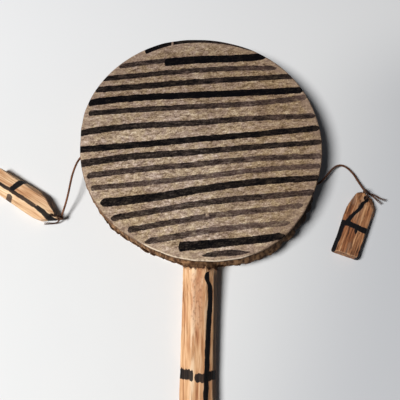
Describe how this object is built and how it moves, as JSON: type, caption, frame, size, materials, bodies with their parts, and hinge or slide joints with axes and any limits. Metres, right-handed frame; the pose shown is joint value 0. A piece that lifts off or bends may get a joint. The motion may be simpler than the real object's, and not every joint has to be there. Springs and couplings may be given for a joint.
{
  "type": "spin drum",
  "caption": "Hand-held two-headed disc drum on a whittled stick, with a wooden striker on a short cord at each side and hand-brushed stripes on its front head.",
  "frame": {"origin": "centre of the drum's disc, on the outside of the back head, which is the surface that the drum lies on", "axes": "+Z out of the front head, -Y from the disc along the handle to its free end, +X to the right as seen from the front with the handle down"},
  "size_m": [0.3045, 0.3808, 0.024],
  "materials": {
    "hoop_wood": "matt bare wood",
    "handle_wood": "whittled pale softwood with black brushed lines",
    "striker_wood": "whittled wood with black brushed lines",
    "front_hide": "dried hide with black and brown brushed stripes",
    "back_hide": "plain dried hide",
    "cord_fibre": "twisted brown cord"
  },
  "bodies": {
    "drum": {"hoop": "hoop_wood", "front_skin": "front_hide", "back_skin": "back_hide", "handle": "handle_wood", "left_stop_knot": "cord_fibre", "right_stop_knot": "cord_fibre"},
    "left_cord": {"left_cord": "cord_fibre"},
    "left_striker": {"left_striker": "striker_wood", "left_tie": "cord_fibre"},
    "right_cord": {"right_cord": "cord_fibre"},
    "right_striker": {"right_striker": "striker_wood", "right_tie": "cord_fibre"}
  },
  "joints": [
    {"name": "left_cord_swing", "type": "hinge", "parent": "drum", "child": "left_cord", "pos_m": [-0.09085, -0.00795, 0.012], "axis": [-0.0872, 0.9962, 0], "range_deg": [-75, 75]},
    {"name": "left_striker_swing", "type": "hinge", "parent": "left_cord", "child": "left_striker", "pos_m": [-0.10379, -0.0544, 0.0049], "axis": [0.5402, 0.8415, 0], "range_deg": [-80, 80]},
    {"name": "right_cord_swing", "type": "hinge", "parent": "drum", "child": "right_cord", "pos_m": [0.08597, -0.03044, 0.012], "axis": [-0.3338, -0.9426, 0], "range_deg": [-60, 85]},
    {"name": "right_striker_swing", "type": "hinge", "parent": "right_cord", "child": "right_striker", "pos_m": [0.12577, -0.03328, 0.0049], "axis": [-0.9171, 0.3987, 0], "range_deg": [-90, 90]}
  ]
}
